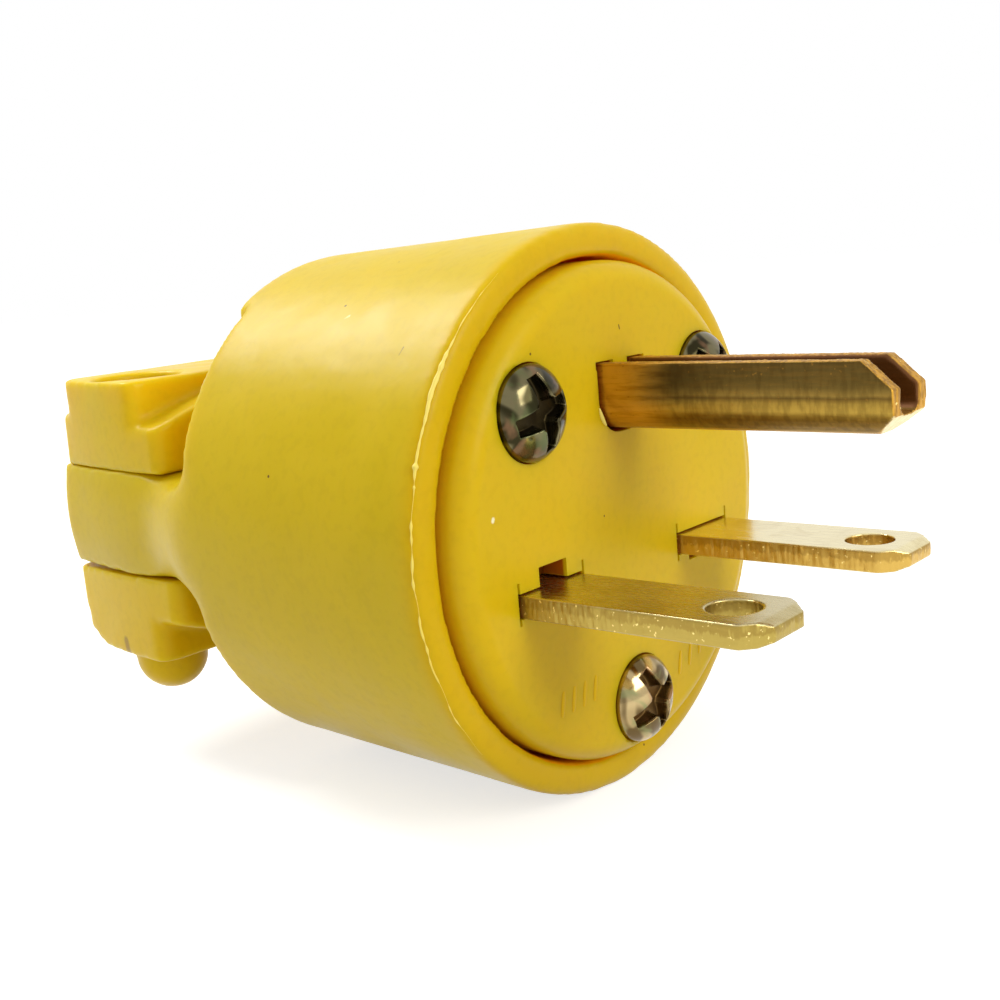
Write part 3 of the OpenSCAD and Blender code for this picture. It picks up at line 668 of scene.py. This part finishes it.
def pin_inner(points, normals):
    """The faces that look into the channel."""
    return np.clip((-normals[:, 0] * np.sign(points[:, 0]) - 0.4) / 0.3, 0, 1) * (points[:, 1] < 0)


stamped("ground_pin", pin_torn, pin_brass, 31, toe=pin_toe, inner=pin_inner)


# ---- Terminals ----------------------------------------------------------------------------------
# Inside the shell each contact ends in a tab with a binding screw and a loose square plate that
# grips the wire. All are brass, and the screw on the ground side is dyed green.

terminal_brass = brass("terminal_brass", tone(206, 176, 104), tone(160, 126, 62), tone(186, 150, 76),
                       tone(150, 116, 56), rough=0.3)
for terminal in ("terminal_screw_left", "terminal_screw_right"):
    dress(terminal, terminal_brass)
for plate in ("pressure_plate_left", "pressure_plate_right", "ground_pressure_plate"):
    dress(plate, terminal_brass)
dress("ground_screw", brass("green_dyed_screw", tone(58, 128, 66), tone(34, 92, 46), tone(70, 130, 72),
                            tone(40, 96, 50)))


# ---- Plated screws ------------------------------------------------------------------------------
# Three domed cross-recess screws hold the face disc and two longer ones squeeze the cord clamp.
# They are bright zinc over steel; bright and dark patches and faint green and pink tints are
# painted reflections.

def zinc(name, bright, dark, rosy, leafy, painted_recess_shade):
    """Zinc plate with painted reflections: a warped noise parts bright from dark patches and two more set
    rosy and leafy tints, for the surroundings that the heads mirror; the piece's recess mask paints shade
    into the cross."""
    made, tree, shader, place = new_material(name)
    patch = put(tree, "ShaderNodeTexNoise", {"Vector": place, "Scale": 260.0, "Detail": 1.0, "Distortion": 1.6})
    leafy_reflection_noise = put(tree, "ShaderNodeTexNoise", {"Vector": place, "Scale": 420.0, "Detail": 2.0, "Distortion": 1.0})
    rosy_reflection_noise = put(tree, "ShaderNodeTexNoise", {"Vector": place, "Scale": 640.0, "Detail": 3.0, "Distortion": 0.5})
    # Painted reflections: bright and dark patches and rosy and leafy tints stand in for the room mirrored in the
    # heads.
    colour = mix(tree, step(tree, patch.outputs[0], 0.42, 0.56), dark, bright)
    colour = mix(tree, calc(tree, "MULTIPLY", step(tree, leafy_reflection_noise.outputs[0], 0.5, 0.66), 0.7), colour, leafy)
    colour = mix(tree, calc(tree, "MULTIPLY", step(tree, rosy_reflection_noise.outputs[0], 0.52, 0.68), 0.7), colour, rosy)
    cross = put(tree, "ShaderNodeAttribute", attribute_name="recess").outputs["Fac"]
    # Painted shade: the cross is darkened where its recess falls into shade.
    colour = mix(tree, cross, colour, painted_recess_shade)
    tree.links.new(colour, shader.inputs["Base Color"])
    shader.inputs["Metallic"].default_value = 1.0
    gloss = put(tree, "ShaderNodeMapRange", {0: rosy_reflection_noise.outputs[0], 1: 0.3, 2: 0.7, 3: 0.1, 4: 0.2}).outputs[0]
    tree.links.new(calc(tree, "ADD", gloss, calc(tree, "MULTIPLY", cross, 0.25)), shader.inputs["Roughness"])
    return made


screw_head, screw_shank, screw_rim = 6.2, 3.4, 0.9


def screw(node, length, rise, seat, along, twist, finish):
    """A domed screw as one closed surface on a square grid folded round its axis. Its ring number
    runs over the dome, whose height falls off as a power of the radius, round the rim, under the
    head and down the shank to the tip. The cross is sunk by its distance field, deepest at the middle.
    Lengths are in millimetres; the seat is under the head and along is the way that it looks."""
    rings = np.array([*np.linspace(0, 1, 62), 1.02, 1.1, 1.2, 1.25, 1.3, 1.4, 1.5, 1.6, 1.7, 1.8, 1.9, 2.0])
    reach = np.concatenate([-rings[:0:-1], rings])
    u, v = np.meshgrid(reach, reach, indexing="ij")
    ring = np.maximum(abs(u), abs(v))
    round_off = ring / np.maximum(np.hypot(u, v), 1e-9)
    radius, core = screw_head / 2, screw_shank / 2
    wide = np.interp(ring, [0, 1, 1.02, 1.2, 1.25, 1.3, 1.9, 2.0],
                     [0, radius, radius, radius, radius * 0.98, core, core, 0])
    dome = screw_rim + (rise - screw_rim) * np.maximum(1 - np.minimum(ring, 1) ** 2.5, 0) ** 0.72
    tall = np.interp(ring, [1, 1.02, 1.2, 1.25, 1.3, 1.9, 2.0],
                     [screw_rim, 0.86, 0.05, 0.0, 0.0, 0.4 - length, -length])
    height = np.where(ring <= 1, dome, tall)
    spin = np.where(ring > 1e-9, wide / np.maximum(ring, 1e-9), 0)
    x, y = u * round_off * spin, v * round_off * spin
    c, s = np.cos(twist), np.sin(twist)
    p, q = abs(c * x + s * y), abs(-s * x + c * y)
    near, far = np.minimum(p, q), np.maximum(p, q)
    arm = 0.23 * radius * (1.1 - 0.4 * far / radius)
    in_arm = np.minimum(arm - near, 0.8 * radius - far)
    in_middle = 0.36 * radius - np.hypot(p, q)
    inside = np.maximum(in_arm, in_middle)
    sunk = np.clip(inside / 0.3 + 0.15, 0, 1) * (ring < 1)
    sunk = sunk * sunk * (3 - 2 * sunk)
    depth = 1.25 - 0.55 * (np.hypot(p, q) / radius)
    height = height - sunk * depth
    local = np.stack([x, y, height], -1).reshape(-1, 3)
    out, side = np.array(along, float), np.array([1.0, 0.0, 0.0])
    points = np.array(seat) + local[:, :1] * side + local[:, 1:2] * np.cross(out, side) + local[:, 2:] * out
    index = np.arange(len(points)).reshape(len(reach), -1)
    faces = np.stack([index[:-1, :-1], index[1:, :-1], index[1:, 1:], index[:-1, 1:]], -1).reshape(-1, 4)
    piece = new_piece(node + "_metal", points / 1000.0, faces)
    set_mask(piece, "recess", np.clip(sunk.reshape(-1) * 1.8 - 0.4, 0, 1))
    work = bmesh.new()
    work.from_mesh(piece.data)
    bmesh.ops.remove_doubles(work, verts=work.verts[:], dist=2e-7)
    bmesh.ops.recalc_face_normals(work, faces=work.faces[:])
    work.to_mesh(piece.data)
    work.free()
    piece.data.shade_smooth()
    fit_out(piece, finish, "zinc_screw", node)


# Painted reflections: the screws share one plating; this copy is dark for the dark surroundings mirrored in the left
# and right face screws, which the clamp screws share, and the next is paler and browner for the brown reflections on
# the bottom screw.
zinc_dark_reflections = zinc("zinc_dark_reflections", tone(116, 108, 78), tone(50, 46, 28), tone(128, 96, 70), tone(86, 98, 60),
                   tone(50, 42, 24))
zinc_brown_reflections = zinc("zinc_brown_reflections", tone(186, 164, 118), tone(106, 88, 56), tone(176, 138, 100), tone(140, 146, 98),
                 tone(104, 80, 44))
face_rise, face_length = 2.4, 16.0
for spot, finish, twist in (("left", zinc_dark_reflections, 0.28), ("right", zinc_dark_reflections, 0.9), ("bottom", zinc_brown_reflections, 0.42)):
    low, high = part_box("face_screw_" + spot)
    middle = (low + high) * 500.0
    screw("face_screw_" + spot, face_length, face_rise, (middle.x, low.y * 1000.0 + face_rise, middle.z),
          (0, -1, 0), twist, finish)
clamp_rise = 2.3
for spot, twist in (("left", 0.5), ("right", 1.1)):
    low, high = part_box("clamp_screw_" + spot)
    middle = (low + high) * 500.0
    screw("clamp_screw_" + spot, (high.z - low.z) * 1000.0 - clamp_rise, clamp_rise,
          (middle.x, middle.y, high.z * 1000.0 - clamp_rise), (0, 0, 1), twist, zinc_dark_reflections)


# ---- Cord clamp ---------------------------------------------------------------------------------
# Two loose halves in the same nylon sit above and below the neck and close on the cord, drawn
# together by the long screws. Each is an arched saddle with a block across it and ribs for the cord.

clamp_nylon = nylon("clamp_nylon", tone(226, 188, 8), tone(226, 192, 20), tone(104, 70, 16),
                    marks=[(tone(176, 142, 40), (-15.6, 39.1, -9.9), (-15.6, 39.0, -10.7), 0.24)])
for half in ("upper", "lower"):
    piece = relaxed_skin("clamp_" + half, "cord_clamp_" + half, 0.25, 8, seam)
    points, normals = get_points(piece)
    set_points(piece, points + normals * np.minimum(0.03 * ripple(points, 5.0, 12), 0.0)[:, None])
    fit_out(piece, clamp_nylon, "yellow_nylon", "cord_clamp_" + half)


# ---- Stage --------------------------------------------------------------------------------------
# A white table under a large soft lamp that stands high behind the plug, with a weaker one in front.
# The plug is seen from low on its left, close up, with the camera leaning a little.

def light_path_white(tree):
    """1 for rays that show the backdrop: from the camera, from gloss or through glass."""
    path = put(tree, "ShaderNodeLightPath").outputs
    seen = calc(tree, "MAXIMUM", path["Is Camera Ray"], path["Is Glossy Ray"])
    return calc(tree, "MAXIMUM", seen, path["Is Transmission Ray"])


floor_size, floor_lines = 3.0, 9
floor_mesh = bpy.data.meshes.new("table")
grid = np.linspace(-floor_size / 2, floor_size / 2, floor_lines)
across, along = np.meshgrid(grid, grid, indexing="ij")
points = np.stack([across, along, np.full_like(across, cad_box[0][2])], -1).reshape(-1, 3)
index = np.arange(floor_lines ** 2).reshape(floor_lines, floor_lines)
quads = np.stack([index[:-1, :-1], index[1:, :-1], index[1:, 1:], index[:-1, 1:]], -1).reshape(-1, 4)
floor_mesh.from_pydata(points.tolist(), [], quads.tolist())
table = bpy.data.objects.new("table", floor_mesh)
bpy.context.scene.collection.objects.link(table)
table_paint = bpy.data.materials.new("table_paint")
table_paint.use_nodes = True
tree = table_paint.node_tree
tree.nodes.clear()
paper = put(tree, "ShaderNodeTexNoise",
            {"Vector": put(tree, "ShaderNodeTexCoord").outputs["Object"], "Scale": 300.0})
shade = mix(tree, paper.outputs[0], (0.60, 0.60, 0.60, 1.0), (0.64, 0.64, 0.64, 1.0))
matt = put(tree, "ShaderNodeBsdfDiffuse", {"Color": shade})
glow = put(tree, "ShaderNodeEmission", {"Strength": calc(tree, "MULTIPLY", light_path_white(tree), 0.68)})
both = put(tree, "ShaderNodeAddShader", {0: matt.outputs[0], 1: glow.outputs[0]})
put(tree, "ShaderNodeOutputMaterial", {"Surface": both.outputs[0]})
floor_mesh.materials.append(table_paint)

sky = bpy.data.worlds.new("studio")
bpy.context.scene.world = sky
sky.use_nodes = True
tree = sky.node_tree
tree.nodes.clear()
soft = put(tree, "ShaderNodeBackground", {"Color": (1.0, 1.0, 1.0, 1.0), "Strength": 0.56})
white = put(tree, "ShaderNodeBackground", {"Color": (1.0, 1.0, 1.0, 1.0), "Strength": 1.0})
chosen = put(tree, "ShaderNodeMixShader", {0: light_path_white(tree), 1: soft.outputs[0], 2: white.outputs[0]})
put(tree, "ShaderNodeOutputWorld", {"Surface": chosen.outputs[0]})


def soft_lamp(name, place, aim, size, watts, colour):
    """A square area lamp at a point, turned to face another."""
    data = bpy.data.lights.new(name, "AREA")
    data.shape = "SQUARE"
    data.size = size
    data.energy = watts
    data.color = colour
    lamp = bpy.data.objects.new(name, data)
    turned = (Vector(aim) - Vector(place)).to_track_quat("-Z", "Y").to_matrix().to_4x4()
    lamp.matrix_world = Matrix.Translation(place) @ turned
    bpy.context.scene.collection.objects.link(lamp)


soft_lamp("high_lamp", (-0.03, 0.32, 0.35), (0.0, 0.012, 0.0), 0.2, 1.64, (1.0, 0.99, 0.96))
soft_lamp("front_lamp", (-0.01, -0.42, 0.25), (0.0, 0.0, 0.0), 0.26, 1.2, (1.0, 0.98, 0.94))

azimuth, elevation, lean = np.radians([-49.18, 10.62, -4.74])
back = np.array([np.sin(azimuth) * np.cos(elevation), -np.cos(azimuth) * np.cos(elevation), np.sin(elevation)])
level_right = np.array([np.cos(azimuth), np.sin(azimuth), 0.0])
level_up = np.cross(back, level_right)
right = np.cos(lean) * level_right + np.sin(lean) * level_up
up = -np.sin(lean) * level_right + np.cos(lean) * level_up
centre_of_view, distance = np.array([-0.01357, 0.0, 0.00356]), 0.08044
eye = centre_of_view + back * distance
camera_data = bpy.data.cameras.new("camera")
camera_data.sensor_width = 36.0
camera_data.lens = 47.52
camera_data.clip_start = 0.005
camera = bpy.data.objects.new("camera", camera_data)
turn = Matrix(np.stack([right, up, back], 1).tolist()).to_4x4()
camera.matrix_world = Matrix.Translation(eye.tolist()) @ turn
bpy.context.scene.collection.objects.link(camera)
bpy.context.scene.camera = camera

bpy.context.scene.view_settings.view_transform = "Standard"
